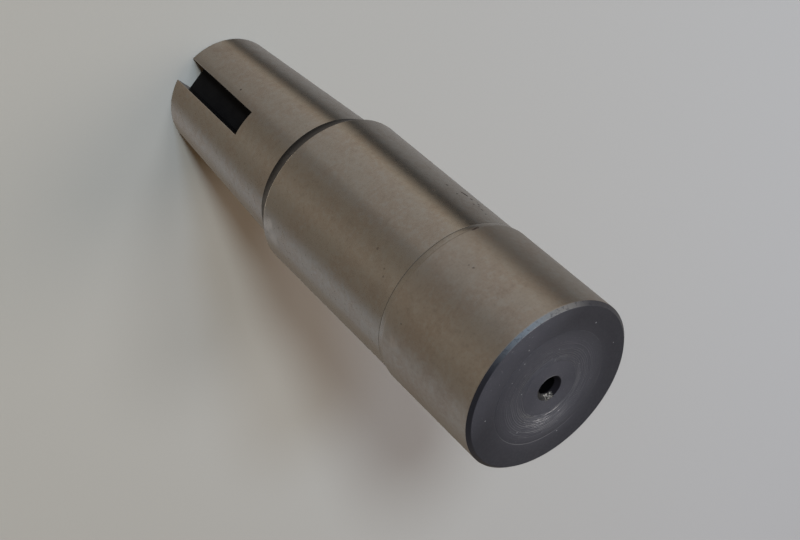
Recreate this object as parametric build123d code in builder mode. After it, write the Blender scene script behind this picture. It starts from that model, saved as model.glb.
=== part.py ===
"""Stepped steel shaft, turned and ground from one bar, with an open keyway in its tapered end.

The shaft stands on its small end. The origin is the centre of that end, +Z runs up the turning
axis to the big front face, and the keyway opens towards -Y.
"""
from build123d import *
from math import hypot, radians, tan
import os

# ---------------------------------------------------------------- turned lengths, from the small end up
taper_length = 60.0         # ground taper that carries the keyway
shoulder_length = 5.2       # conical shoulder between the taper and the journal
journal_length = 56.8       # middle journal
lead_length = 2.2           # gentle lead-in up to the head
head_length = 35.8          # largest section, its front chamfer included

# ---------------------------------------------------------------- turned diameters
taper_small_diameter = 37.5
taper_large_diameter = 43.8
journal_diameter = 48.9
head_diameter = 50.0

# ---------------------------------------------------------------- turned edges
front_chamfer = 1.0         # 45 degree chamfer round the front face
end_break = 0.2             # broken edge round the small end

# ---------------------------------------------------------------- keyway, open at the small end
slot_width = 8.0
slot_length = 38.0
slot_floor_height = 12.4    # from the turning axis to the keyway's floor
slot_runout_radius = 5.0    # left by the cutter where the floor meets the end wall
slot_break = 0.15           # broken edge along the keyway's mouth
cutter_overrun = 2.0        # how far the cutter runs past the steel

# ---------------------------------------------------------------- blind hole in the front face
hole_diameter = 5.0
hole_depth = 22.0           # at full diameter, from the front face
hole_point_angle = 118.0    # left by the drill's point
sink_diameter = 7.4
sink_angle = 90.0

# ---------------------------------------------------------------- places that follow from the sizes
shoulder_foot = taper_length
journal_foot = shoulder_foot + shoulder_length
lead_foot = journal_foot + journal_length
head_foot = lead_foot + lead_length
front_face = head_foot + head_length

end_radius = taper_small_diameter / 2
taper_rate = (taper_large_diameter / 2 - end_radius) / taper_length     # radius gained per unit of height
journal_radius = journal_diameter / 2
head_radius = head_diameter / 2

hole_radius = hole_diameter / 2
sink_radius = sink_diameter / 2
sink_depth = (sink_radius - hole_radius) / tan(radians(sink_angle / 2))
point_depth = hole_radius / tan(radians(hole_point_angle / 2))

tolerance = 0.001           # for telling whether a point lies on a surface


def taper_radius(height):
    """Give the taper's radius at a height above the small end."""
    return end_radius + taper_rate * height


def is_keyway_mouth(edge):
    """Say whether an edge is one of those that the keyway cuts into the taper's surface."""
    middle = edge @ 0.5
    on_taper = abs(hypot(middle.X, middle.Y) - taper_radius(middle.Z)) < tolerance
    in_slot = abs(middle.X) < slot_width / 2 + tolerance and middle.Y < -slot_floor_height
    return on_taper and in_slot


with BuildPart() as shaft:
    # The outline is one turned profile: half of the lengthwise section, spun about the axis.
    with BuildSketch(Plane.XZ) as turned_profile:
        with BuildLine():
            Polyline(
                (0, 0),
                (end_radius - end_break, 0),
                (taper_radius(end_break), end_break),
                (taper_radius(taper_length), shoulder_foot),
                (journal_radius, journal_foot),
                (journal_radius, lead_foot),
                (head_radius, head_foot),
                (head_radius, front_face - front_chamfer),
                (head_radius - front_chamfer, front_face),
                (0, front_face),
                close=True,
            )
        make_face()
    revolve(axis=Axis.Z)

    # Countersunk blind hole on the axis, with the cone that the drill's point leaves.
    with BuildSketch(Plane.XZ) as hole_profile:
        with BuildLine():
            Polyline(
                (0, front_face),
                (sink_radius, front_face),
                (hole_radius, front_face - sink_depth),
                (hole_radius, front_face - hole_depth),
                (0, front_face - hole_depth - point_depth),
                close=True,
            )
        make_face()
    revolve(axis=Axis.Z, mode=Mode.SUBTRACT)

    # Keyway: its lengthwise section, drawn across Y and along Z, is cut through the -Y side.
    with BuildSketch(Plane.YZ) as slot_profile:
        with BuildLine():
            Polyline(
                (-slot_floor_height, -cutter_overrun),
                (-slot_floor_height, slot_length),
                (-head_radius - cutter_overrun, slot_length),
                (-head_radius - cutter_overrun, -cutter_overrun),
                close=True,
            )
        make_face()
        end_wall_corners = slot_profile.vertices().group_by(Axis.Y)[-1]
        fillet(end_wall_corners.sort_by(Axis.X)[-1], radius=slot_runout_radius)
    extrude(amount=slot_width / 2, both=True, mode=Mode.SUBTRACT)

    # The edges of the keyway's mouth are broken along both sides and across the blind end.
    mouth_edges = shaft.edges(Select.LAST).filter_by(is_keyway_mouth)
    chamfer(mouth_edges, length=slot_break)
shaft.part.label = "stepped_shaft"

os.makedirs("parts", exist_ok=True)
export_step(shaft.part, "parts/stepped_shaft.step")
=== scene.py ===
"""Stepped steel shaft with an open keyway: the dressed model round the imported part.

The shaft stands on its small end, its turning axis along +Z, and its keyway opens towards -Y.
Its running diameters are ground bright. What the grinding wheel never touched keeps the black
oxide skin of the blank: the faced ends, the shoulder, the keyway and the hole.
"""

import logging
import math
from dataclasses import dataclass
from enum import Enum

import bpy
from mathutils import Matrix, Vector, noise


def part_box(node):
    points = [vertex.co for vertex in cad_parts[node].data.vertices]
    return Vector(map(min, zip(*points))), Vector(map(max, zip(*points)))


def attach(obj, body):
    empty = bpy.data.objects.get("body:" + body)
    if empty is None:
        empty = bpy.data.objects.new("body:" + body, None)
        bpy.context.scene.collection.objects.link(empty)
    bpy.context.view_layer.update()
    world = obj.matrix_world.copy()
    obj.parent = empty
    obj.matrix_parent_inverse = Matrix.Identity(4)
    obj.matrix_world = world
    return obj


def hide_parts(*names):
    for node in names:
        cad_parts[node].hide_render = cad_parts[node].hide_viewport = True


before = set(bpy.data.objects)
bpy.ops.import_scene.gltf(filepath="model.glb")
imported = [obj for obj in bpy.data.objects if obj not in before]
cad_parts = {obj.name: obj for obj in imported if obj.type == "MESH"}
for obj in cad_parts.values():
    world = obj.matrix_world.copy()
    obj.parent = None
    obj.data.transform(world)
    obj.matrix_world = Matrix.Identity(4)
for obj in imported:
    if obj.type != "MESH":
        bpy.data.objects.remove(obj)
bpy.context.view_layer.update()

MM = 0.001                      # metres in a millimetre
STEEL_NODE = "stepped_shaft"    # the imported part's one node

log = logging.getLogger("shaft")

Colour = tuple[float, float, float]
Point = tuple[float, float, float]
Socket = bpy.types.NodeSocket

UNCHANGED: Colour = (1.0, 1.0, 1.0)         # a factor that leaves a colour as it is
NOISE_MIDDLE: Colour = (0.5, 0.5, 0.5)      # what a noise pattern's colour varies round
AXIS: Point = (0.0, 0.0, 1.0)               # the turning axis, from the small end to the head
BACK: Point = (0.0, 1.0, 0.0)               # away from the keyway
ACROSS: Point = (1.0, 1.0, 0.0)             # keeps what lies square to the axis
QUARTER_TURN = 0.25                         # of a turn, as the shader counts a highlight's direction
FULL_TURN = 360.0                           # in degrees


class Finish(Enum):
    """The steel's finishes, each with its place in the body's list of materials."""

    GROUND = 0
    FACED = 1
    TURNED = 2
    BLACKED = 3
    TORN = 4
    RUBBED = 5
    BORED = 6


# ------------------------------------------------------------------------------------ node graphs
@dataclass(frozen=True)
class Pattern:
    """The settings of a noise pattern.

    Attributes:
        size: The size of its blotches, in the units of the coordinates.
        detail: How many finer layers it has.
        rough: How strong the finer layers are.
    """

    size: float
    detail: float = 2.0
    rough: float = 0.5


@dataclass(frozen=True)
class Ramp:
    """A range, and the range that it is mapped smoothly onto.

    Attributes:
        low: The start of the range.
        high: The end of the range.
        at_low: What the start becomes.
        at_high: What the end becomes.
    """

    low: float
    high: float
    at_low: float = 0.0
    at_high: float = 1.0


class Graph:
    """A material's or the world's nodes, with short calls for the few kinds that are used."""

    def __init__(self, tree: bpy.types.NodeTree) -> None:
        """Empty the tree.

        Args:
            tree: The node tree to fill.
        """
        self.tree = tree
        tree.nodes.clear()

    def node(self, kind: str, **settings: object) -> bpy.types.Node:
        """Add a node.

        Args:
            kind: The node's Blender type.
            **settings: Properties to set on it.

        Returns:
            The new node.
        """
        made = self.tree.nodes.new(kind)
        for name, value in settings.items():
            setattr(made, name, value)
        return made

    def feed(self, target: Socket, value: object) -> None:
        """Link a socket to an input, or set the input's own value.

        Args:
            target: The input socket.
            value: An output socket, a number, a vector or a colour.
        """
        if isinstance(value, bpy.types.NodeSocket):
            self.tree.links.new(value, target)
        elif target.type == "RGBA" and len(value) == 3:
            target.default_value = (*value, 1.0)
        else:
            target.default_value = value

    def math(self, operation: str, *values: object, clamp: bool = False) -> Socket:
        """Add a Math node.

        Args:
            operation: Its operation.
            *values: Its inputs, numbers or sockets.
            clamp: Whether the result is kept from 0 to 1.

        Returns:
            The result's socket.
        """
        made = self.node("ShaderNodeMath", operation=operation, use_clamp=clamp)
        for target, value in zip(made.inputs, values):
            self.feed(target, value)
        return made.outputs[0]

    def vector(self, operation: str, *values: object, out: str = "Vector") -> Socket:
        """Add a Vector Math node.

        Args:
            operation: Its operation.
            *values: Its inputs, vectors or sockets.
            out: The name of the output that is wanted.

        Returns:
            That output's socket.
        """
        made = self.node("ShaderNodeVectorMath", operation=operation)
        for target, value in zip(made.inputs, values):
            self.feed(target, value)
        return made.outputs[out]

    def noise_node(self, place: Socket, pattern: Pattern) -> bpy.types.Node:
        """Add a noise node.

        Args:
            place: The coordinates it reads.
            pattern: Its settings.

        Returns:
            The new node.
        """
        made = self.node("ShaderNodeTexNoise")
        self.feed(made.inputs["Vector"], place)
        made.inputs["Scale"].default_value = 1.0 / pattern.size
        made.inputs["Detail"].default_value = pattern.detail
        made.inputs["Roughness"].default_value = pattern.rough
        return made

    def noise(self, place: Socket, pattern: Pattern) -> Socket:
        """Give a noise pattern's value, from 0 to 1, at each place."""
        return self.noise_node(place, pattern).outputs["Fac"]

    def wander(self, place: Socket, size: float, reach: float) -> Socket:
        """Shift coordinates about at random, so that what is drawn on them has ragged edges.

        Args:
            place: The coordinates.
            size: How far apart the shifts change.
            reach: How large they are.

        Returns:
            The shifted coordinates.
        """
        shift = self.noise_node(place, Pattern(size)).outputs["Color"]
        shift = self.vector("SUBTRACT", shift, NOISE_MIDDLE)
        return self.vector("ADD", place, self.vector("MULTIPLY", shift, (reach, reach, reach)))

    def spread(self, value: Socket, ramp: Ramp) -> Socket:
        """Map a value smoothly from one range onto another.

        Args:
            value: The value to map.
            ramp: Both ranges.

        Returns:
            The mapped value's socket.
        """
        made = self.node("ShaderNodeMapRange", interpolation_type="SMOOTHSTEP")
        made.inputs["From Min"].default_value = ramp.low
        made.inputs["From Max"].default_value = ramp.high
        made.inputs["To Min"].default_value = ramp.at_low
        made.inputs["To Max"].default_value = ramp.at_high
        self.feed(made.inputs["Value"], value)
        return made.outputs["Result"]

    def along(self, place: Socket, direction: Point) -> Socket:
        """Give how far each place lies along a direction."""
        return self.vector("DOT_PRODUCT", place, direction, out="Value")

    def split(self, place: Socket) -> tuple[Socket, Socket, Socket]:
        """Take coordinates apart into X, Y and Z."""
        parts = self.node("ShaderNodeSeparateXYZ")
        self.feed(parts.inputs[0], place)
        return parts.outputs["X"], parts.outputs["Y"], parts.outputs["Z"]

    def blend(self, share: object, first: object, second: object, mode: str = "MIX") -> Socket:
        """Mix two colours.

        Args:
            share: How much of the second there is, a number or a socket.
            first: A colour or a socket.
            second: A colour or a socket.
            mode: How they are mixed.

        Returns:
            The mixed colour's socket.
        """
        made = self.node("ShaderNodeMix", data_type="RGBA", blend_type=mode)
        self.feed(made.inputs["Factor"], share)
        first_colour, second_colour = (socket for socket in made.inputs if socket.type == "RGBA")
        self.feed(first_colour, first)
        self.feed(second_colour, second)
        return next(socket for socket in made.outputs if socket.type == "RGBA")

    def bump(self, height: Socket, depth: float, below: Socket | None = None) -> Socket:
        """Add a bump in metres.

        Args:
            height: The pattern that stands up, from 0 to 1.
            depth: How far it stands up.
            below: The normal of another bump, if this one lies on it.

        Returns:
            The normal's socket.
        """
        made = self.node("ShaderNodeBump")
        made.inputs["Strength"].default_value = 1.0
        made.inputs["Distance"].default_value = depth
        self.feed(made.inputs["Height"], height)
        if below is not None:
            self.feed(made.inputs["Normal"], below)
        return made.outputs["Normal"]


# --------------------------------------------------------------------------------------- finishes
@dataclass(frozen=True)
class Spot:
    """A small round blemish on the steel.

    Attributes:
        place: Its centre, in metres.
        size: Its radius, in metres.
        strength: How strong it is, up to 1.
    """

    place: Vector
    size: float
    strength: float = 1.0


SPOT_CORE = 0.3         # the share of a spot's radius within which it shows in full
RAGGED_SIZE = 1.5       # how far apart the shifts of a spot's edge change, as a share of its raggedness
RAGGED_REACH = 2.0      # how large those shifts are, as the same share
STRETCH_FADE = 0.25     # the share of a worn stretch over which it fades at each end


def spots_mask(graph: Graph, place: Socket, spots: tuple[Spot, ...], ragged: float) -> Socket:
    """Make a mask that shows each of some spots and fades out at their edges.

    Args:
        graph: The nodes to add to.
        place: The object's own coordinates.
        spots: The spots.
        ragged: How ragged their edges are, in metres.

    Returns:
        The mask's socket.
    """
    rough_place = graph.wander(place, RAGGED_SIZE * ragged, RAGGED_REACH * ragged)
    mask: object = 0.0
    for spot in spots:
        away = graph.vector("DISTANCE", rough_place, spot.place, out="Value")
        shown = graph.spread(away, Ramp(SPOT_CORE * spot.size, spot.size, spot.strength, 0.0))
        mask = graph.math("MAXIMUM", shown, mask)
    return mask


def round_the_axis(graph: Graph, place: Socket) -> Socket:
    """Give the direction that runs round the turning axis, along which the tool marks lie."""
    return graph.vector("NORMALIZE", graph.vector("CROSS_PRODUCT", AXIS, place))


def angle_of(graph: Graph, place: Socket) -> Socket:
    """Give each place's angle round the axis from -Y towards +X, in radians."""
    x, y, _ = graph.split(place)
    return graph.math("ARCTAN2", x, graph.math("MULTIPLY", y, -1.0))


def worn_stretch(graph: Graph, place: Socket, start: float, end: float) -> Socket:
    """Make a mask of one stretch round the axis, which fades in and out within it.

    Args:
        graph: The nodes to add to.
        place: The object's own coordinates.
        start: Where the stretch starts, round the axis from -Y towards +X, in radians.
        end: Where it ends.

    Returns:
        The mask's socket.
    """
    angle = angle_of(graph, place)
    fade = (end - start) * STRETCH_FADE
    starts = graph.spread(angle, Ramp(start, start + fade))
    return graph.math("MULTIPLY", starts, graph.spread(angle, Ramp(end - fade, end, 1.0, 0.0)))


@dataclass
class Surface:
    """What a finish looks like so far, as its layers are laid on.

    Attributes:
        tint: Its colour.
        metal: How much it shines as metal does.
        rough: Its roughness.
        shape: Its normal.
    """

    tint: Socket
    metal: object
    rough: Socket
    shape: Socket


@dataclass(frozen=True)
class SteelFinish:
    """What all the finishes of the steel share: grooves round the axis that draw highlights out.

    Attributes:
        name: What the material is called.
        pull: How much wider a highlight is across the tool marks than along them.
        shine: How strong the reflection of a clear skin is.
    """

    name: str = "steel"
    pull: float = 0.5
    shine: float = 0.5

    def layers(self, graph: Graph, place: Socket) -> Surface:
        """Lay the finish's layers.

        Args:
            graph: The nodes to add to.
            place: The object's own coordinates.

        Returns:
            The finished surface.
        """
        raise NotImplementedError

    def material(self) -> bpy.types.Material:
        """Build the material.

        Returns:
            The material, on the object's own coordinates.
        """
        made = bpy.data.materials.new(self.name)
        made.use_nodes = True
        graph = Graph(made.node_tree)
        place = graph.node("ShaderNodeTexCoord").outputs["Object"]
        surface = self.layers(graph, place)
        shader = graph.node("ShaderNodeBsdfPrincipled")
        shader.inputs["Anisotropic"].default_value = self.pull
        shader.inputs["Anisotropic Rotation"].default_value = QUARTER_TURN
        shader.inputs["Specular IOR Level"].default_value = self.shine
        graph.feed(shader.inputs["Base Color"], surface.tint)
        graph.feed(shader.inputs["Metallic"], surface.metal)
        graph.feed(shader.inputs["Roughness"], surface.rough)
        graph.feed(shader.inputs["Normal"], surface.shape)
        graph.feed(shader.inputs["Tangent"], round_the_axis(graph, place))
        graph.feed(graph.node("ShaderNodeOutputMaterial").inputs["Surface"], shader.outputs[0])
        return made


@dataclass(frozen=True)
class GroundSteel(SteelFinish):
    """Bright steel from the cylindrical grinder, handled and a little stained.

    Lengths are in metres. A ramp turns a pattern's value into a share or a change.

    Attributes:
        pits: Small corroded pits.
        stains: Faint brown stains.
        scuffs: Places rubbed paler than the rest.
        colour: The clean metal.
        warm: The metal under old oil and handling stains.
        cool: The metal where it has been wiped clean.
        dull: The fine specks that the wheel left dark.
        rust: The bottom of a pit.
        stain: The middle of a stain.
        scuff: The middle of a scuff.
        roughness: The middle of its roughness.
        coarser_from: The height from which the wheel left the steel a little coarser.
        coarser_over: The length over which that comes in.
        coarser: How much rougher it is there.
        paler: How much paler it is there, as a share of each part of the colour.
        drawn: How the marks' coordinates are stretched, so that the marks run round the axis.
        marks: The grinding marks.
        grain: The fine grain.
        cloud: The broad clouds of oil.
        mottle: The mottling between them.
        warm_share: How much of the clouds is warm.
        cool_share: How much of the mottling is cool.
        mottle_dull: How dull the mottling's low places are.
        grain_dull: How dull the grain's low places are.
        marks_dull: How dull the marks' low places are.
        blotches: How the grain breaks up the stains.
        mottle_rough: How the mottling changes the roughness.
        marks_rough: How the marks change the roughness.
        pit_rough: How much rougher the pits are.
        marks_depth: How deep the marks are.
        grain_depth: How deep the grain is.
        pit_depth: How deep the pits are.
        pit_ragged: How ragged the pits' edges are.
        stain_ragged: How ragged the stains' edges are.
        scuff_ragged: How ragged the scuffs' edges are.
    """

    pits: tuple[Spot, ...] = ()
    stains: tuple[Spot, ...] = ()
    scuffs: tuple[Spot, ...] = ()
    colour: Colour = (0.455, 0.428, 0.390)
    warm: Colour = (0.44, 0.395, 0.350)
    cool: Colour = (0.46, 0.450, 0.425)
    dull: Colour = (0.20, 0.185, 0.17)
    rust: Colour = (0.06, 0.035, 0.03)
    stain: Colour = (0.33, 0.275, 0.235)
    scuff: Colour = (0.72, 0.68, 0.63)
    roughness: float = 0.25
    coarser_from: float = 123.0 * MM
    coarser_over: float = 2.0 * MM
    coarser: float = 0.16
    paler: Colour = (0.115, 0.09, 0.07)
    drawn: Point = (0.2, 0.2, 30.0)
    marks: Pattern = Pattern(6.0 * MM, 3.0, 0.6)
    grain: Pattern = Pattern(0.55 * MM, 3.0, 0.65)
    cloud: Pattern = Pattern(9.0 * MM)
    mottle: Pattern = Pattern(1.7 * MM, 4.0, 0.72)
    warm_share: Ramp = Ramp(0.40, 0.62, 0.0, 0.8)
    cool_share: Ramp = Ramp(0.46, 0.66, 0.0, 0.9)
    mottle_dull: Ramp = Ramp(0.30, 0.46, 0.16, 0.0)
    grain_dull: Ramp = Ramp(0.32, 0.50, 0.14, 0.0)
    marks_dull: Ramp = Ramp(0.30, 0.50, 0.05, 0.0)
    blotches: Ramp = Ramp(0.35, 0.60, 1.0, 0.45)
    mottle_rough: Ramp = Ramp(0.3, 0.7, 0.03, -0.03)
    marks_rough: Ramp = Ramp(0.3, 0.7, 0.015, -0.015)
    pit_rough: float = 0.3
    marks_depth: float = 0.0006 * MM
    grain_depth: float = 0.0022 * MM
    pit_depth: float = 0.06 * MM
    pit_ragged: float = 0.22 * MM
    stain_ragged: float = 1.6 * MM
    scuff_ragged: float = 0.8 * MM

    def layers(self, graph: Graph, place: Socket) -> Surface:
        """Lay the grinding marks, the stains and the pits."""
        marks = graph.noise(graph.vector("MULTIPLY", place, self.drawn), self.marks)
        grain, cloud, mottle = (graph.noise(place, each) for each in (self.grain, self.cloud, self.mottle))
        pits = spots_mask(graph, place, self.pits, self.pit_ragged)
        stains = spots_mask(graph, place, self.stains, self.stain_ragged)
        scuffs = spots_mask(graph, place, self.scuffs, self.scuff_ragged)
        stains = graph.math("MULTIPLY", stains, graph.spread(grain, self.blotches))
        tint: object = self.colour
        for share, colour in (
            (graph.spread(cloud, self.warm_share), self.warm),
            (graph.spread(mottle, self.cool_share), self.cool),
            (graph.spread(mottle, self.mottle_dull), self.dull),
            (graph.spread(grain, self.grain_dull), self.dull),
            (graph.spread(marks, self.marks_dull), self.dull),
            (stains, self.stain),
            (scuffs, self.scuff),
            (pits, self.rust),
        ):
            tint = graph.blend(share, tint, colour)

        height = graph.along(place, AXIS)
        head = graph.spread(height, Ramp(self.coarser_from, self.coarser_from + self.coarser_over))
        gain = graph.vector("ADD", graph.vector("MULTIPLY", self.paler, head), UNCHANGED)
        tint = graph.vector("MULTIPLY", tint, gain)
        rough = graph.math("ADD", self.roughness, graph.spread(mottle, self.mottle_rough))
        rough = graph.math("ADD", rough, graph.math("MULTIPLY", head, self.coarser))
        rough = graph.math("ADD", rough, graph.spread(marks, self.marks_rough))
        rough = graph.math("ADD", rough, graph.math("MULTIPLY", pits, self.pit_rough), clamp=True)

        shape = graph.bump(marks, self.marks_depth)
        shape = graph.bump(grain, self.grain_depth, shape)
        shape = graph.bump(graph.math("SUBTRACT", 1.0, pits), self.pit_depth, shape)
        return Surface(tint, 1.0, rough, shape)


@dataclass(frozen=True)
class BlackOxide(SteelFinish):
    """Turned or milled steel under its black oxide skin.

    Lengths are in metres.

    Attributes:
        skin: The skin's colour.
        thin: The skin where it is thinner.
        dust: The specks of dust and salt on it.
        roughness: The middle of its roughness.
        metal: How much it shines as metal does.
        grain: The fine grain.
        cloud: The clouds where the skin is thinner.
        thin_share: How much of the clouds is thin.
        dust_share: How much of the grain is dusty.
        grain_rough: How the grain changes the roughness.
        grain_depth: How deep the grain is.
    """

    skin: Colour = (0.0045, 0.0042, 0.0045)
    thin: Colour = (0.0065, 0.006, 0.006)
    dust: Colour = (0.014, 0.013, 0.013)
    roughness: float = 0.5
    metal: float = 0.0
    grain: Pattern = Pattern(0.7 * MM, 3.0, 0.6)
    cloud: Pattern = Pattern(6.0 * MM, 3.0, 0.55)
    thin_share: Ramp = Ramp(0.35, 0.65, 0.0, 0.8)
    dust_share: Ramp = Ramp(0.60, 0.85, 0.0, 0.5)
    grain_rough: Ramp = Ramp(0.3, 0.7, -0.05, 0.05)
    grain_depth: float = 0.003 * MM

    def layers(self, graph: Graph, place: Socket) -> Surface:
        """Lay the skin and its dust."""
        grain, cloud = graph.noise(place, self.grain), graph.noise(place, self.cloud)
        tint = graph.blend(graph.spread(cloud, self.thin_share), self.skin, self.thin)
        tint = graph.blend(graph.spread(grain, self.dust_share), tint, self.dust)
        rough = graph.math("ADD", self.roughness, graph.spread(grain, self.grain_rough))
        return Surface(tint, self.metal, rough, graph.bump(grain, self.grain_depth))


@dataclass(frozen=True)
class TurnedOxide(BlackOxide):
    """The shoulder: a skin that is thickest in the corner and rubbed brown towards its edge.

    Attributes:
        corner: The height of the corner, in metres.
        edge: The height of the outer edge, in metres.
        rubbed: The skin's colour at the edge.
    """

    corner: float = 0.0
    edge: float = 1.0
    rubbed: Colour = (0.045, 0.038, 0.033)

    def layers(self, graph: Graph, place: Socket) -> Surface:
        """Lay the skin, and rub it towards the edge."""
        surface = super().layers(graph, place)
        share = graph.spread(graph.along(place, AXIS), Ramp(self.corner, self.edge))
        surface.tint = graph.blend(share, surface.tint, self.rubbed)
        return surface


@dataclass(frozen=True)
class BoredOxideShadeAndLight(BlackOxide):
    """The hole: painted shade down the bore, and painted light on one side of the countersink.

    Lengths are in metres, and angles in radians.

    Attributes:
        mouth: The height of the countersink's foot.
        mouth_below: How far below it the countersink's skin starts to show.
        mouth_above: How far above it that skin shows in full.
        sunk: The skin's colour on the countersink.
        lit_side: The countersink's colour on the side that faces the light, a painted light.
        lit_side_from: Where that side starts, round the axis from -Y towards +X.
        lit_side_to: Where it ends.
        patches: The patches that the painted light is broken into.
        patch_share: How strongly each patch shows it.
    """

    mouth: float = 0.0
    mouth_below: float = 0.3 * MM
    mouth_above: float = 0.2 * MM
    sunk: Colour = (0.0078, 0.0070, 0.0084)
    lit_side: Colour = (0.045, 0.042, 0.038)
    lit_side_from: float = math.radians(15.0)
    lit_side_to: float = math.radians(150.0)
    patches: Pattern = Pattern(0.5 * MM)
    patch_share: Ramp = Ramp(0.35, 0.60, 0.35, 1.0)

    def layers(self, graph: Graph, place: Socket) -> Surface:
        """Lay the skin, paler on the countersink than down the bore, and paint light on one side of it."""
        surface = super().layers(graph, place)
        # Painted light: the side of the countersink that faces the light is shown paler, in patches.
        share = worn_stretch(graph, place, self.lit_side_from, self.lit_side_to)
        foot = Ramp(self.mouth - self.mouth_below, self.mouth + self.mouth_above)
        at_mouth = graph.spread(graph.along(place, AXIS), foot)
        patchy = graph.spread(graph.noise(place, self.patches), self.patch_share)
        for limit in (at_mouth, patchy):
            share = graph.math("MULTIPLY", share, limit)
        surface.tint = graph.blend(at_mouth, surface.tint, self.sunk)
        surface.tint = graph.blend(share, surface.tint, self.lit_side)
        return surface


@dataclass(frozen=True)
class FacedOxide(BlackOxide):
    """The front face: the skin, the tool's marks, a darker rim, a worn chamfer and painted highlights.

    All places are in metres and radians. An angle runs round the axis from -Y towards +X.

    Attributes:
        bare: The metal that shows through the skin.
        rim_skin: The darker colour that the skin takes towards the rim.
        chamfer_skin: The skin on the chamfer.
        chamfer_metal: How much the chamfer shines as metal does.
        chamfer_roughness: The chamfer's roughness.
        mark_bare: How much of the bare metal shows in the marks.
        mark_smooth: How much smoother the marks are than the skin.
        mark_metal: How much the marks shine as metal does.
        mark_off_sheen: How much of the marks' bare metal shows outside the stretch of painted sheen.
        marks_sheen_from: Where the stretch of painted sheen on the marks starts.
        marks_sheen_to: Where that stretch ends.
        streak_length: How many times the streaks change round the face, about.
        streak_pattern: The streaks, in their own coordinates.
        streak_share: How bright each streak is.
        specks: The larger specks of dust.
        speck_ragged: How ragged the specks' edges are.
        rim_near: How the rim's skin comes in outwards from the axis.
        rim_away_from_minus_y: How the darkening comes in away from -Y, where the face stays paler.
        marks_from: Where the tool's coarse marks start from the axis.
        marks_start: The length over which they come in.
        marks_full: Where they begin to fade.
        marks_to: Where they end.
        mark_pitch: How far apart the marks lie.
        mark_share: How much of that distance each one takes.
        mark_slope: How steeply each one rises outwards.
        grooves: The radii of the deeper grooves that the tool left, and how bright each is.
        groove_reach: How far each groove reaches from its middle.
        groove_core: The share of that reach within which it shows in full.
        mouth: The radius of the hole's mouth.
        mouth_from: Where the painted highlight on the mouth's edge starts.
        mouth_to: Where it ends.
        mouth_full: How far out of the mouth it shows in full.
        mouth_reach: How far out of the mouth it ends.
        mouth_highlight: How much bare metal it is painted with.
        rim: Where the face ends and its chamfer starts.
        rim_inside: How far inside the rim the chamfer's looks start to show.
        rim_outside: How far outside it they show in full.
        worn_from: Where the chamfer's bared stretch starts, partly wear and partly a painted highlight.
        worn_start: The angle over which the wear comes in.
        worn_least: How much wear there is before that.
        worn_end: The angle over which the wear fades.
        worn_to: Where that stretch ends.
        worn_behind: The range of angles over which the faint wear comes in.
        patches: The patches that the wear is made of.
        patch_share: How worn each patch is.
    """

    bare: Colour = (0.42, 0.415, 0.41)
    rim_skin: Colour = (0.0355, 0.0345, 0.041)
    chamfer_skin: Colour = (0.070, 0.068, 0.080)
    chamfer_metal: float = 0.85
    chamfer_roughness: float = 0.42
    mark_bare: float = 0.36
    mark_smooth: float = 0.25
    mark_metal: float = 0.85
    mark_off_sheen: float = 0.40
    marks_sheen_from: float = math.radians(66.0)
    marks_sheen_to: float = math.radians(180.0)
    streak_length: float = 1.6
    streak_pattern: Pattern = Pattern(1.0, 2.0, 0.6)
    streak_share: Ramp = Ramp(0.36, 0.62, 0.1, 1.0)
    specks: tuple[Spot, ...] = ()
    speck_ragged: float = 0.08 * MM
    rim_near: Ramp = Ramp(9.5 * MM, 21.5 * MM)
    rim_away_from_minus_y: Ramp = Ramp(-21.0 * MM, -9.0 * MM)
    marks_from: float = 8.3 * MM
    marks_start: float = 0.2 * MM
    marks_full: float = 10.0 * MM
    marks_to: float = 17.2 * MM
    mark_pitch: float = 0.55 * MM
    mark_share: float = 0.4
    mark_slope: float = 0.13
    grooves: tuple[tuple[float, float], ...] = ()
    groove_reach: float = 0.11 * MM
    groove_core: float = 0.7
    mouth: float = 3.7 * MM
    mouth_from: float = math.radians(-75.0)
    mouth_to: float = math.radians(10.0)
    mouth_full: float = 0.14 * MM
    mouth_reach: float = 0.32 * MM
    mouth_highlight: float = 0.38
    rim: float = 24.0 * MM
    rim_inside: float = 0.12 * MM
    rim_outside: float = 0.08 * MM
    worn_from: float = math.radians(-72.0)
    worn_start: float = math.radians(24.0)
    worn_least: float = 0.12
    worn_end: float = math.radians(42.0)
    worn_to: float = math.radians(12.0)
    worn_behind: Ramp = Ramp(math.radians(-150.0), math.radians(-110.0))
    patches: Pattern = Pattern(0.9 * MM, 3.0, 0.6)
    patch_share: Ramp = Ramp(0.34, 0.50, 0.5, 1.0)

    def layers(self, graph: Graph, place: Socket) -> Surface:
        """Lay the skin, then the tool's marks, a darker rim, wear and painted highlights."""
        surface = super().layers(graph, place)
        out = graph.vector("LENGTH", graph.vector("MULTIPLY", place, ACROSS), out="Value")
        self.darken_rim(graph, surface, out, place)
        self.cut_marks(graph, surface, out, place)
        self.paint_mouth_highlight(graph, surface, out, place)
        self.wear_chamfer_with_highlight(graph, surface, out, place)
        specks = spots_mask(graph, place, self.specks, self.speck_ragged)
        surface.tint = graph.blend(specks, surface.tint, self.dust)
        return surface

    def darken_rim(self, graph: Graph, surface: Surface, out: Socket, place: Socket) -> None:
        """Darken the skin towards the rim, except towards -Y."""
        near_rim = graph.spread(out, self.rim_near)
        away_from_minus_y = graph.spread(graph.along(place, BACK), self.rim_away_from_minus_y)
        surface.tint = graph.blend(graph.math("MULTIPLY", near_rim, away_from_minus_y), surface.tint, self.rim_skin)

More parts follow.
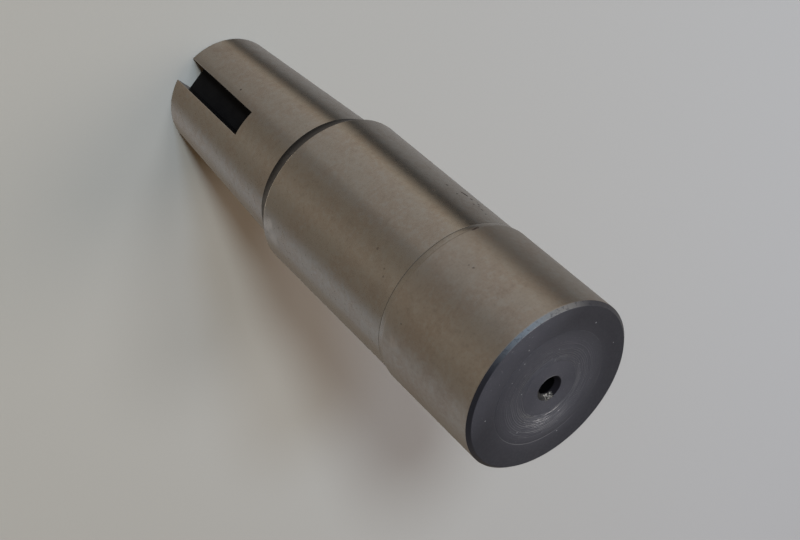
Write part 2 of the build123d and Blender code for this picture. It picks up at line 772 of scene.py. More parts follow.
    def streaks(self, graph: Graph, out: Socket, place: Socket) -> Socket:
        """Make long thin streaks that run round the axis, each as bright as the tool left it."""
        flat = graph.vector("NORMALIZE", graph.vector("MULTIPLY", place, ACROSS))
        ring = graph.node("ShaderNodeCombineXYZ")
        graph.feed(ring.inputs["Z"], graph.math("DIVIDE", out, self.mark_pitch))
        turned = graph.vector("MULTIPLY", flat, (self.streak_length, self.streak_length, 0.0))
        return graph.noise(graph.vector("ADD", turned, ring.outputs[0]), self.streak_pattern)

    def cut_marks(self, graph: Graph, surface: Surface, out: Socket, place: Socket) -> None:
        """Cut the fine steps that the facing tool left, each of which rises outwards, and bare their metal,
        with a painted sheen.
        """
        starts = graph.spread(out, Ramp(self.marks_from - self.marks_start, self.marks_from))
        fades = graph.spread(out, Ramp(self.marks_full, self.marks_to, 1.0, 0.0))
        streaky = graph.spread(self.streaks(graph, out, place), self.streak_share)
        share = graph.math("MULTIPLY", graph.math("MULTIPLY", starts, fades), streaky)
        tooth = graph.math("FRACT", graph.math("DIVIDE", out, self.mark_pitch))
        rise = graph.math("DIVIDE", tooth, self.mark_share, clamp=True)
        depth = self.mark_pitch * self.mark_share * self.mark_slope
        surface.shape = graph.bump(graph.math("MULTIPLY", rise, share), depth, surface.shape)
        bright = graph.math("MULTIPLY", graph.math("LESS_THAN", tooth, self.mark_share), share)
        for groove, brightness in self.grooves:
            off = graph.math("ABSOLUTE", graph.math("SUBTRACT", out, groove))
            core = Ramp(self.groove_core * self.groove_reach, self.groove_reach, brightness, 0.0)
            within = graph.spread(off, core)
            bright = graph.math("MAXIMUM", bright, graph.math("MULTIPLY", within, streaky))
        # Painted sheen: the bare metal of the marks and grooves shows in full only on one stretch round the
        # axis, where the glint's sheen falls, and fainter elsewhere.
        rubbed = worn_stretch(graph, place, self.marks_sheen_from, self.marks_sheen_to)
        rubbed = graph.spread(rubbed, Ramp(0.0, 1.0, self.mark_off_sheen, 1.0))
        bright = graph.math("MULTIPLY", bright, rubbed)
        smoother = graph.math("MULTIPLY", bright, self.mark_smooth)
        surface.rough = graph.math("SUBTRACT", surface.rough, smoother)
        surface.tint = graph.blend(graph.math("MULTIPLY", bright, self.mark_bare), surface.tint, self.bare)
        surface.metal = graph.spread(bright, Ramp(0.0, 1.0, self.metal, self.mark_metal))

    def paint_mouth_highlight(self, graph: Graph, surface: Surface, out: Socket, place: Socket) -> None:
        """Paint a thin highlight, as bare metal, on one stretch of the hole's edge."""
        share = worn_stretch(graph, place, self.mouth_from, self.mouth_to)
        edge = Ramp(self.mouth + self.mouth_full, self.mouth + self.mouth_reach, self.mouth_highlight, 0.0)
        share = graph.math("MULTIPLY", share, graph.spread(out, edge))
        # Painted highlight: bare metal along a thin stretch of the hole's edge.
        surface.tint = graph.blend(share, surface.tint, self.bare)

    def wear_chamfer_with_highlight(self, graph: Graph, surface: Surface, out: Socket, place: Socket) -> None:
        """Bare one stretch of the chamfer: partly wear, partly a painted highlight."""
        angle = angle_of(graph, place)
        start = Ramp(self.worn_from, self.worn_from + self.worn_start, self.worn_least, 1.0)
        end = Ramp(self.worn_to - self.worn_end, self.worn_to, 1.0, 0.0)
        on_chamfer = graph.spread(out, Ramp(self.rim - self.rim_inside, self.rim + self.rim_outside))
        patchy = graph.spread(graph.noise(place, self.patches), self.patch_share)
        behind = graph.spread(angle, self.worn_behind)
        worn = graph.math("MULTIPLY", graph.spread(angle, start), graph.spread(angle, end))
        for share in (behind, on_chamfer, patchy):
            worn = graph.math("MULTIPLY", worn, share)
        surface.tint = graph.blend(on_chamfer, surface.tint, self.chamfer_skin)
        # Partly wear, partly painted highlight: the stretch is bared where the chamfer shows bright.
        surface.tint = graph.blend(worn, surface.tint, self.bare)
        shine = graph.math("MULTIPLY", on_chamfer, self.chamfer_metal - self.metal)
        shine = graph.math("ADD", surface.metal, shine)
        surface.metal = graph.math("ADD", shine, graph.math("MULTIPLY", worn, 1.0 - self.chamfer_metal))
        smoother = graph.math("MULTIPLY", on_chamfer, self.roughness - self.chamfer_roughness)
        surface.rough = graph.math("SUBTRACT", surface.rough, smoother)


@dataclass(frozen=True)
class TornMetal(SteelFinish):
    """Fresh bright metal where the drill tore the mouth of its hole.

    Attributes:
        colour: The torn metal.
        shade: The colour between the crumbs, a painted shade in the torn metal's folds.
        metal: How much it shines as metal does.
        crumbs: The crumbs that it is torn into.
        crumb_share: How much of the torn metal's colour each crumb shows.
        crumb_rough: How rough each crumb is.
        crumb_depth: How far the crumbs stand up, in metres.
    """

    colour: Colour = (0.38, 0.35, 0.31)
    shade: Colour = (0.030, 0.027, 0.023)
    metal: float = 0.4
    crumbs: Pattern = Pattern(0.55 * MM)
    crumb_share: Ramp = Ramp(0.46, 0.63)
    crumb_rough: Ramp = Ramp(0.3, 0.7, 0.55, 0.35)
    crumb_depth: float = 0.08 * MM

    def layers(self, graph: Graph, place: Socket) -> Surface:
        """Lay the crumbs, with painted shade between them."""
        crumbs = graph.noise(place, self.crumbs)
        tint = graph.blend(graph.spread(crumbs, self.crumb_share), self.shade, self.colour)
        rough = graph.spread(crumbs, self.crumb_rough)
        return Surface(tint, self.metal, rough, graph.bump(crumbs, self.crumb_depth))


# ------------------------------------------------------------------------------------- the shaft
@dataclass(frozen=True)
class Blemish:
    """Where a small blemish lies on the shaft.

    Attributes:
        along: Its height on a turned surface, or its distance from the axis on the front face, in mm.
        angle: Its place round the axis from -Y towards +X, in degrees.
        size: Its radius, in mm.
        strength: How strong it is, up to 1.
    """

    along: float
    angle: float
    size: float
    strength: float = 0.8


# Small dark pits. The last six make the dark dash at the lead-in.
PITS = (
    Blemish(26.9, -19.2, 0.42, 0.75),
    Blemish(110.0, -0.8, 0.55, 0.35),
    Blemish(115.6, 5.4, 0.40, 0.30),
    Blemish(116.8, 9.5, 0.45, 0.35),
    Blemish(104.6, -54.5, 0.55, 0.60),
    Blemish(102.5, -69.2, 0.60, 0.50),
    Blemish(106.1, -75.6, 0.60, 0.90),
    Blemish(106.8, -76.3, 0.75, 1.00),
    Blemish(107.5, -76.8, 0.60, 1.00),
    Blemish(107.1, -68.8, 0.40, 0.70),
    Blemish(109.4, -77.0, 0.60, 0.80),
    Blemish(110.4, -80.5, 0.55, 0.60),
    Blemish(112.1, -77.9, 0.60, 0.80),
    Blemish(112.5, -72.3, 0.45, 0.70),
    Blemish(113.4, -75.2, 0.45, 0.55),
    Blemish(115.3, -73.9, 0.50, 0.65),
    Blemish(117.6, -72.3, 0.40, 0.55),
    Blemish(114.7, -86.0, 0.50, 0.60),
    Blemish(134.1, -28.9, 0.36, 0.40),
    Blemish(135.6, -29.4, 0.46, 0.45),
    Blemish(129.5, 23.0, 0.34, 0.50),
    Blemish(122.2, -45.6, 0.55, 0.80),
    Blemish(124.2, -48.8, 0.50, 0.80),
    Blemish(124.1, -50.1, 0.60, 1.00),
    Blemish(124.0, -51.3, 0.62, 1.00),
    Blemish(123.9, -52.5, 0.62, 1.00),
    Blemish(123.8, -53.7, 0.58, 0.90),
)

# Faint brown stains.
STAINS = (
    Blemish(4.0, -34.0, 2.4, 0.55),
    Blemish(6.0, -42.0, 4.5, 0.25),
    Blemish(113.0, 6.0, 3.2, 0.30),
    Blemish(117.5, 12.0, 3.6, 0.40),
    Blemish(116.0, 20.0, 2.6, 0.30),
    Blemish(108.0, -64.0, 6.0, 0.30),
    Blemish(114.5, -70.0, 5.0, 0.35),
    Blemish(134.0, -30.0, 4.5, 0.22),
    Blemish(146.5, -29.0, 2.8, 0.35),
    Blemish(142.5, 36.0, 4.2, 0.30),
    Blemish(149.0, 42.0, 5.0, 0.35),
    Blemish(153.5, -20.0, 5.5, 0.28),
    Blemish(98.0, 8.0, 5.0, 0.16),
    Blemish(86.0, -2.0, 6.0, 0.14),
)

# Pale scuffs.
SCUFFS = (
    Blemish(67.0, 44.0, 2.6, 0.45),
    Blemish(68.6, 40.0, 2.2, 0.55),
    Blemish(70.5, 50.0, 2.8, 0.35),
    Blemish(128.5, 37.5, 2.6, 0.22),
    Blemish(104.6, -53.6, 0.50, 0.40),
)

# Specks of dust on the front face.
SPECKS = (
    Blemish(19.8, -84.5, 0.30),
    Blemish(18.5, -18.2, 0.26),
    Blemish(15.6, -8.9, 0.26),
    Blemish(13.7, 93.8, 0.22),
    Blemish(9.4, 28.5, 0.28),
    Blemish(19.8, 46.2, 0.26),
    Blemish(12.2, -52.0, 0.20),
    Blemish(14.9, 12.0, 0.20),
    Blemish(17.7, 150.0, 0.22),
    Blemish(20.6, -120.0, 0.20),
)


@dataclass
class Shaft:
    """The turned and ground bar with its keyway and hole. All sizes are in mm and degrees.

    The overall length and the head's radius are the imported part's own. An angle runs round the axis
    from -Y towards +X.

    Attributes:
        length: The overall length.
        head_radius: The head's radius.
        segments: How many sides each turned ring has.
        ring_spacing: How far apart the rings lie on a long surface, at most.
        taper_length: The taper's length, from the small end.
        end_radius: The taper's radius at the small end.
        taper_top_radius: The taper's radius where the shoulder starts.
        end_break: How far the small end's edge is broken.
        journal_foot: The height at which the journal starts.
        journal_radius: The journal's radius.
        lead_foot: The height at which the lead-in to the head starts.
        lead_margin: How far below it the journal's last ring lies.
        front_chamfer: The front chamfer's width.
        edge_break: How far the other edges are broken.
        scribe_width: The width of the dark line at the lead-in's foot.
        lead_shape: The lead-in's outline, as height above its foot and share of the rise.
        grooves: The radii of the face's deeper grooves, and how bright each is.
        groove_width: A groove's width at the face.
        groove_flank: How steep its inner flank is, as the width of its slope.
        groove_depth: A groove's depth.
        sink_radius: The countersink's radius at the face.
        hole_radius: The hole's radius.
        hole_depth: The hole's depth to the end of its full bore.
        hole_point_depth: How far the drill's point goes on.
        sink_steps: How many rings the countersink has.
        lip_rings: How many rings lie close round its mouth.
        tear_from: Where the torn stretch of the mouth starts.
        tear_to: Where that stretch ends.
        tear_height: How high the torn lip stands.
        tear_inside: How far outside the bore the tear starts.
        tear_outside: How far outside the mouth it ends.
        tear_depth: How far down it reaches.
        tear_waves: The tear's ripples, as waves in a mm and strength.
        torn_outside: How far outside the mouth torn metal shows.
        torn_depth: How far down it shows.
        torn_waves: The waves in a mm of its ragged edge.
        torn_ragged: How ragged that edge is.
        torn_least: The share of the tear from which torn metal shows.
        slot_width: The keyway's width.
        slot_length: The keyway's length from the small end.
        slot_floor_height: The floor's distance from the axis.
        slot_runout_radius: The radius that the cutter left at the keyway's end.
        runout_segments: How many sides that radius has.
        slot_overrun: How far the cutters start outside the steel.
        slot_break: How far the keyway's mouth is broken.
        slot_margin: How far inside the taper a face counts as the keyway's.
        corner_height: How far above the taper the shoulder's skin starts to thin out.
        smooth_angle: The angle between faces up to which they are shaded as one.
    """

    length: float
    head_radius: float
    segments: int = 256
    ring_spacing: float = 5.0
    taper_length: float = 60.0
    end_radius: float = 18.75
    taper_top_radius: float = 21.9
    end_break: float = 0.2
    journal_foot: float = 65.2
    journal_radius: float = 24.45
    lead_foot: float = 122.0
    lead_margin: float = 0.1
    front_chamfer: float = 1.0
    edge_break: float = 0.12
    scribe_width: float = 0.24
    lead_shape: tuple[tuple[float, float], ...] = (
        (0.0, -0.06),
        (0.04, 0.12),
        (0.24, 0.22),
        (0.54, 0.37),
        (2.0, 0.67),
        (2.3, 0.87),
        (2.34, 1.0),
        (2.4, 1.0),
    )
    grooves: tuple[tuple[float, float], ...] = (
        (17.0, 0.45),
        (9.7, 1.0),
        (9.25, 1.0),
        (8.8, 1.0),
        (8.35, 1.0),
    )
    groove_width: float = 0.22
    groove_flank: float = 0.03
    groove_depth: float = 0.04
    sink_radius: float = 3.7
    hole_radius: float = 2.5
    hole_depth: float = 22.0
    hole_point_depth: float = 1.5
    sink_steps: int = 8
    lip_rings: int = 4
    tear_from: float = 114.0
    tear_to: float = 168.0
    tear_height: float = 0.34
    tear_inside: float = 0.05
    tear_outside: float = 0.4
    tear_depth: float = 1.3
    tear_waves: tuple[tuple[float, float], ...] = ((1.9, 1.0), (3.7, 0.5))
    torn_outside: float = 0.3
    torn_depth: float = 1.1
    torn_waves: float = 3.3
    torn_ragged: float = 0.9
    torn_least: float = 0.25
    slot_width: float = 8.0
    slot_length: float = 38.0
    slot_floor_height: float = 12.4
    slot_runout_radius: float = 5.0
    runout_segments: int = 16
    slot_overrun: float = 2.0
    slot_break: float = 0.15
    slot_margin: float = 0.1
    corner_height: float = 0.8
    smooth_angle: float = 12.0

    def taper_radius(self, height: float) -> float:
        """Give the taper's radius at a height above the small end."""
        rate = (self.taper_top_radius - self.end_radius) / self.taper_length
        return self.end_radius + rate * height

    def ground_radius(self, height: float) -> float:
        """Give the radius of the ground surface at a height above the small end."""
        if height < self.taper_length:
            return self.taper_radius(height)
        return self.journal_radius if height < self.lead_foot else self.head_radius

    def side(self) -> list[tuple[float, float]]:
        """List the outline from the small end's rim to the front chamfer, as height and radius."""
        journal, head, broken = self.journal_radius, self.head_radius, self.edge_break
        foot, top = self.journal_foot, self.length - self.front_chamfer
        rise = head - journal
        rings = [(self.end_break, self.taper_radius(self.end_break))]
        rings += [(h, self.taper_radius(h)) for h in self.spaced(self.end_break, self.taper_length)]
        rings += [(foot + broken / 2, journal - broken * 2 / 3), (foot + 2 * broken, journal)]
        rings += [(h, journal) for h in self.spaced(foot + 2 * broken, self.lead_foot - self.lead_margin)]
        rings += [(self.lead_foot + up, journal + rise * share) for up, share in self.lead_shape]
        rings += [(h, head) for h in self.spaced(rings[-1][0], top - broken)]
        return rings

    def front(self) -> list[tuple[float, float]]:
        """List the outline from the front chamfer to the drill's point, as height and radius."""
        top, rim, broken = self.length, self.head_radius - self.front_chamfer, self.edge_break
        rings = [(top - self.front_chamfer + broken / 2, self.head_radius - broken / 2)]
        rings += [(top - broken / 2, rim + broken / 2), (top, rim - broken)]
        for groove, _ in self.grooves:
            outer, inner = groove + self.groove_width / 2, groove - self.groove_width / 2
            rings += [(top, outer), (top - self.groove_depth, inner + self.groove_flank), (top, inner)]
        rings += [(top, self.sink_radius + step * broken) for step in range(self.lip_rings, 0, -1)]
        sink_depth = self.sink_radius - self.hole_radius
        for step in range(self.sink_steps + 1):
            down = sink_depth * step / self.sink_steps
            rings += [(top - max(down, broken / 2), self.sink_radius - down)]
        rings += [(top - self.hole_depth, self.hole_radius)]
        return rings

    def spaced(self, start: float, end: float) -> list[float]:
        """Divide a length evenly.

        Args:
            start: Where it starts.
            end: Where it ends.

        Returns:
            The end of each step.
        """
        count = math.ceil((end - start) / self.ring_spacing)
        return [start + (end - start) * step / count for step in range(1, count + 1)]

    def turn(self) -> bpy.types.Object:
        """Draw the bar out of a disc, ring by ring, along its outline.

        Returns:
            The closed turned body, before the keyway is cut.
        """
        height, radius = 0.0, self.end_radius - self.end_break
        bpy.ops.object.select_all(action="DESELECT")
        bpy.ops.mesh.primitive_circle_add(vertices=self.segments, radius=radius * MM, fill_type="NGON")
        body = bpy.context.object
        body.name = "shaft_body"
        bpy.ops.object.mode_set(mode="EDIT")
        bpy.ops.mesh.select_all(action="SELECT")
        for next_height, next_radius in self.side() + self.front():
            bpy.ops.mesh.extrude_region_move(
                TRANSFORM_OT_translate={"value": (0.0, 0.0, (next_height - height) * MM)}
            )
            growth = next_radius / radius
            bpy.ops.transform.resize(value=(growth, growth, 1.0))
            height, radius = next_height, next_radius
        bpy.ops.mesh.extrude_region_move(
            TRANSFORM_OT_translate={"value": (0.0, 0.0, -self.hole_point_depth * MM)}
        )
        bpy.ops.mesh.merge(type="CENTER")
        bpy.ops.mesh.select_all(action="SELECT")
        bpy.ops.mesh.normals_make_consistent(inside=False)
        bpy.ops.object.mode_set(mode="OBJECT")
        return body

    def torn_stretch(self) -> tuple[float, float]:
        """Give the middle of the torn stretch and half its length, in degrees."""
        return (self.tear_from + self.tear_to) / 2, (self.tear_to - self.tear_from) / 2

    def tear_mouth(self, body: bpy.types.Object) -> None:
        """Raise the ragged lip that the drill tore on one side of the countersink.

        Args:
            body: The turned body.
        """
        middle, half = self.torn_stretch()
        inside, outside = self.hole_radius + self.tear_inside, self.sink_radius + self.tear_outside
        for vertex in body.data.vertices:
            x, y, z = vertex.co / MM
            if z < self.length - self.tear_depth or not inside < math.hypot(x, y) < outside:
                continue
            turned = math.degrees(math.atan2(x, -y)) - middle
            off = abs((turned + FULL_TURN / 2) % FULL_TURN - FULL_TURN / 2)
            share = max(0.0, 1.0 - (off / half) ** 2)
            ragged = sum(part * noise.noise(Vector((x, y, z)) * waves) for waves, part in self.tear_waves)
            lift = self.tear_height * share * ragged
            inward = Vector((-x, -y, 0.0)).normalized()
            moved = Vector((x, y, z)) + inward * abs(lift) + Vector((0.0, 0.0, lift))
            moved.z = min(moved.z, self.length)
            vertex.co = moved * MM

    def slot_cutter(self) -> bpy.types.Object:
        """Make the solid that the keyway cutter sweeps out, with its round run-out.

        Returns:
            The cutter.
        """
        floor, outside = -self.slot_floor_height, -self.head_radius - self.slot_overrun
        low, high = -self.slot_overrun, self.slot_length
        bpy.ops.object.select_all(action="DESELECT")
        bpy.ops.mesh.primitive_cube_add(
            size=1.0,
            location=(0.0, (floor + outside) / 2 * MM, (low + high) / 2 * MM),
            scale=(self.slot_width * MM, (floor - outside) * MM, (high - low) * MM),
        )
        cutter = bpy.context.object
        cutter.name = "slot_cutter"
        bpy.ops.object.transform_apply(location=True, rotation=True, scale=True)
        corner = Vector((0.0, floor * MM, high * MM))
        bpy.ops.object.mode_set(mode="EDIT")
        bpy.ops.mesh.select_mode(type="EDGE")
        bpy.ops.mesh.select_all(action="DESELECT")
        bpy.ops.object.mode_set(mode="OBJECT")
        for edge in cutter.data.edges:
            first, second = (cutter.data.vertices[index].co for index in edge.vertices)
            edge.select = ((first + second) / 2 - corner).length < self.edge_break * MM
        bpy.ops.object.mode_set(mode="EDIT")
        bpy.ops.mesh.bevel(offset=self.slot_runout_radius * MM, segments=self.runout_segments, affect="EDGES")
        bpy.ops.object.mode_set(mode="OBJECT")
        return cutter

    def break_cutter(self) -> bpy.types.Object:
        """Make the wedge that breaks the two long edges of the keyway's mouth at 45 degrees.

        Returns:
            The cutter.
        """
        half, proud = self.slot_width / 2, self.slot_overrun
        bpy.ops.object.select_all(action="DESELECT")
        bpy.ops.mesh.primitive_cube_add(size=1.0)
        cutter = bpy.context.object
        cutter.name = "break_cutter"
        for vertex in cutter.data.vertices:
            height = self.slot_length if vertex.co.z > 0.0 else -proud
            mouth = -math.sqrt(self.taper_radius(height) ** 2 - half**2)
            flare = proud if vertex.co.y < 0.0 else -self.slot_break
            side = math.copysign(half + self.slot_break + flare, vertex.co.x)
            vertex.co = Vector((side, mouth - flare, height)) * MM
        return cutter

    def cut_keyway(self, body: bpy.types.Object) -> None:
        """Cut the keyway through the taper, and break its mouth.

        Args:
            body: The turned body.
        """
        for cutter in (self.slot_cutter(), self.break_cutter()):
            bpy.ops.object.select_all(action="DESELECT")
            body.select_set(True)
            bpy.context.view_layer.objects.active = body
            cut = body.modifiers.new("keyway", "BOOLEAN")
            cut.operation, cut.solver, cut.object = "DIFFERENCE", "EXACT", cutter
            bpy.ops.object.modifier_apply(modifier=cut.name)
            bpy.data.objects.remove(cutter)

    def finish_of(self, centre: Vector) -> Finish:
        """Name the finish of a face by the place of its centre, in metres."""
        height = centre.z / MM
        radius = math.hypot(centre.x, centre.y) / MM
        angle = math.degrees(math.atan2(centre.x, -centre.y)) % FULL_TURN
        inside, outside = self.hole_radius + self.tear_inside, self.sink_radius + self.torn_outside
        at_mouth = height > self.length - self.torn_depth and inside < radius < outside
        if at_mouth and self.tear_from < angle < self.tear_to:
            middle, half = self.torn_stretch()
            ragged = self.torn_ragged * noise.noise(centre / MM * self.torn_waves)
            if 1.0 - ((angle - middle) / half) ** 2 + ragged > self.torn_least:
                return Finish.TORN
        if radius < self.sink_radius:
            return Finish.BORED
        if height > self.length - self.front_chamfer + self.edge_break / 4:
            return Finish.FACED
        if height < self.slot_length and radius < self.taper_radius(height) - self.slot_margin:
            on_wall = abs(centre.x) / MM > self.slot_width / 2 - self.edge_break
            return Finish.RUBBED if on_wall else Finish.BLACKED
        on_shoulder = self.taper_length < height < self.journal_foot
        scribed = 0.0 < height - self.lead_foot < self.scribe_width
        return Finish.TURNED if on_shoulder or scribed else Finish.GROUND

    def on_side(self, blemish: Blemish) -> Spot:
        """Place a blemish on the ground surfaces."""
        return self.placed(self.ground_radius(blemish.along), blemish.along, blemish)

    def on_face(self, blemish: Blemish) -> Spot:
        """Place a blemish on the front face."""
        return self.placed(blemish.along, self.length, blemish)

    def placed(self, radius: float, height: float, blemish: Blemish) -> Spot:
        """Turn a blemish into a spot at a radius and a height in mm."""
        turn = math.radians(blemish.angle)
        place = Vector((radius * math.sin(turn), -radius * math.cos(turn), height)) * MM
        return Spot(place, blemish.size * MM, blemish.strength)

    def dress(self, body: bpy.types.Object) -> None:
        """Give each face its finish, and smooth what is round.

        Args:
            body: The finished shape.
        """
        ground = GroundSteel(
            name="ground_steel",
            pull=0.6,
            pits=tuple(self.on_side(pit) for pit in PITS),
            stains=tuple(self.on_side(stain) for stain in STAINS),
            scuffs=tuple(self.on_side(scuff) for scuff in SCUFFS),
        )
        faced = FacedOxide(
            name="faced_oxide",
            shine=0.25,
            skin=(0.0645, 0.0635, 0.0755),
            thin=(0.0730, 0.0715, 0.0840),
            dust=(0.42, 0.42, 0.43),
            roughness=0.48,
            metal=0.50,
            specks=tuple(self.on_face(speck) for speck in SPECKS),
            rim=(self.head_radius - self.front_chamfer) * MM,
            grooves=tuple((radius * MM, brightness) for radius, brightness in self.grooves),
            mouth=self.sink_radius * MM,
        )
        turned = TurnedOxide(
            name="turned_oxide",
            shine=0.2,
            corner=(self.taper_length + self.corner_height) * MM,
            edge=self.journal_foot * MM,
        )
        blacked = BlackOxide(name="black_oxide", shine=0.06)
        rubbed = BlackOxide(name="rubbed_oxide", shine=0.5, roughness=0.3)
        # The bore's skin is far darker than the oxide elsewhere: painted shade down the hole.
        bored = BoredOxideShadeAndLight(
            name="bored_oxide_shade_and_light",
            shine=0.03,
            skin=(0.0012, 0.0012, 0.0012),
            thin=(0.0018, 0.0017, 0.0016),
            dust=(0.004, 0.004, 0.004),
            mouth=(self.length - self.sink_radius + self.hole_radius) * MM,
        )
        torn = TornMetal(name="torn_metal", pull=0.0)
        for finish in (ground, faced, turned, blacked, torn, rubbed, bored):
            body.data.materials.append(finish.material())
        for face in body.data.polygons:
            face.material_index = self.finish_of(face.center).value
        bpy.ops.object.shade_smooth_by_angle(angle=math.radians(self.smooth_angle))

    def build(self) -> bpy.types.Object:
        """Turn the bar, cut its keyway and dress it.

        Returns:
            The finished piece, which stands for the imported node.
        """
        body = self.turn()
        self.tear_mouth(body)
        self.cut_keyway(body)
        self.dress(body)
        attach(body, "root")
        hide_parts(STEEL_NODE)
        return body


# ------------------------------------------------------------------------------------- the studio
@dataclass(frozen=True)
class Band:
    """One stretch of the room, as the polished steel mirrors it.

    Attributes:
        bearing: Its direction from +Y towards +X, in degrees.
        brightness: How bright it is.
        tint: Its colour at a brightness of 1.
    """

    bearing: float
    brightness: float
    tint: Colour = UNCHANGED


NEUTRAL: Colour = (1.0, 0.97, 0.95)
MILD: Colour = (1.12, 1.03, 0.94)
WARM: Colour = (1.12, 0.97, 0.80)
COOL: Colour = (1.03, 1.0, 0.99)
SKY: Colour = (0.76, 1.0, 1.28)
SUNLIT: Colour = (0.80, 0.915, 1.0)
DAYLIGHT: Colour = (0.58, 0.75, 1.0)
HAZE: Colour = (0.87, 0.91, 1.0)
BOUNCE: Colour = (1.0, 0.88, 0.80)
GLINT: Colour = (1.0, 0.98, 0.95)


@dataclass
class Room:
    """The soft light all round: what falls on things, and what metal mirrors.

    Attributes:
        fill: The light that falls on everything from all sides.
        horizon: The room as it is seen directly.
        low: What is mirrored from straight below.
        side: What is mirrored from round about.
        high: What is mirrored from above.
        lean: How far what is near the floor stands out sideways from what is above it, in radians.
        lean_below: The upward part of the direction below which it stands out in full.
        lean_above: The upward part above which it doesn't.
        square_to: The bearing from which it stands out to both sides, in radians.
        off_low: The upward parts between which what is below gives way to what is round about.
        onto_high: The upward parts between which that gives way to what is above.
    """

    fill: Colour = (0.150, 0.096, 0.050)
    horizon: Colour = (0.44, 0.44, 0.445)
    lean: float = math.radians(6.0)
    lean_below: float = -0.73
    lean_above: float = -0.64
    square_to: float = math.radians(171.5)
    off_low: Ramp = Ramp(-0.92, -0.78)
    onto_high: Ramp = Ramp(0.0, 0.35)
    low: tuple[Band, ...] = (
        Band(0, 0.22, NEUTRAL),
        Band(25, 2.20, WARM),
        Band(46, 1.70, WARM),
        Band(66, 0.50, WARM),
        Band(90, 0.24, WARM),
        Band(180, 0.20, WARM),
        Band(320, 0.18, WARM),
        Band(345, 0.18, WARM),
    )
    side: tuple[Band, ...] = (
        Band(0, 0.23, NEUTRAL),
        Band(14, 0.175, NEUTRAL),
        Band(32, 0.165, WARM),
        Band(52, 0.21, WARM),
        Band(70, 0.31, COOL),
        Band(88, 0.355, COOL),
        Band(98, 0.29, NEUTRAL),
        Band(112, 0.205, WARM),
        Band(130, 0.225, WARM),
        Band(152, 0.295, WARM),
        Band(182, 0.22, WARM),
        Band(198, 0.225, MILD),
        Band(211, 0.34, MILD),
        Band(231, 0.375, MILD),
        Band(252, 0.42, MILD),
        Band(262, 0.45, WARM),
        Band(270, 0.24, WARM),
        Band(278, 0.05, NEUTRAL),
        Band(286, 0.07, NEUTRAL),
        Band(294, 0.19, NEUTRAL),
        Band(303, 0.26, NEUTRAL),
        Band(322, 0.305, NEUTRAL),
        Band(342, 0.33, NEUTRAL),
    )
    high: tuple[Band, ...] = (
        Band(0, 0.25, NEUTRAL),
        Band(45, 0.18, NEUTRAL),
        Band(80, 0.08, NEUTRAL),
        Band(105, 0.04, NEUTRAL),
        Band(140, 0.04, NEUTRAL),
        Band(175, 0.20, SKY),
        Band(205, 0.48, SKY),
        Band(242, 0.54, SKY),
        Band(262, 0.52, NEUTRAL),
        Band(292, 0.42, NEUTRAL),
        Band(330, 0.26, NEUTRAL),
    )

    def ramp(self, graph: Graph, turn: Socket, bands: tuple[Band, ...]) -> Socket:
        """Spread bands round the room.

        Args:
            graph: The world's nodes.
            turn: The bearing, from 0 to 1.
            bands: The bands, in order, from bearing 0.

        Returns:
            The colour's socket.
        """
        ramp = graph.node("ShaderNodeValToRGB")
        stops = ramp.color_ramp
        stops.interpolation = "EASE"
        while len(stops.elements) > 1:
            stops.elements.remove(stops.elements[-1])
        for band in (*bands, Band(FULL_TURN, bands[0].brightness, bands[0].tint)):
            stop = stops.elements.new(band.bearing / FULL_TURN)
            stop.color = (*(band.brightness * part for part in band.tint), 1.0)
        stops.elements.remove(stops.elements[0])
        graph.feed(ramp.inputs["Fac"], turn)
        return ramp.outputs["Color"]

    def build(self) -> None:
        """Set the world's light."""
        world = bpy.data.worlds.new("room")
        world.use_nodes = True
        bpy.context.scene.world = world
        graph = Graph(world.node_tree)
        east, north, up = graph.split(graph.node("ShaderNodeTexCoord").outputs["Generated"])
        bearing = graph.math("ARCTAN2", east, north)
        lean = graph.spread(up, Ramp(self.lean_below, self.lean_above, -self.lean, 0.0))
        swing = graph.math("SINE", graph.math("SUBTRACT", bearing, self.square_to))
        bearing = graph.math("ADD", bearing, graph.math("MULTIPLY", lean, swing))
        turn = graph.math("FRACT", graph.math("ADD", graph.math("DIVIDE", bearing, 2.0 * math.pi), 1.0))
        low, side, high = (self.ramp(graph, turn, bands) for bands in (self.low, self.side, self.high))
        mirrored = graph.blend(graph.spread(up, self.off_low), low, side)
        mirrored = graph.blend(graph.spread(up, self.onto_high), mirrored, high)
        rays = graph.node("ShaderNodeLightPath")
        seen = graph.blend(rays.outputs["Is Glossy Ray"], self.fill, mirrored)
        seen = graph.blend(rays.outputs["Is Camera Ray"], seen, self.horizon)
        back = graph.node("ShaderNodeBackground")
        graph.feed(back.inputs["Color"], seen)
        graph.feed(graph.node("ShaderNodeOutputWorld").inputs["Surface"], back.outputs[0])


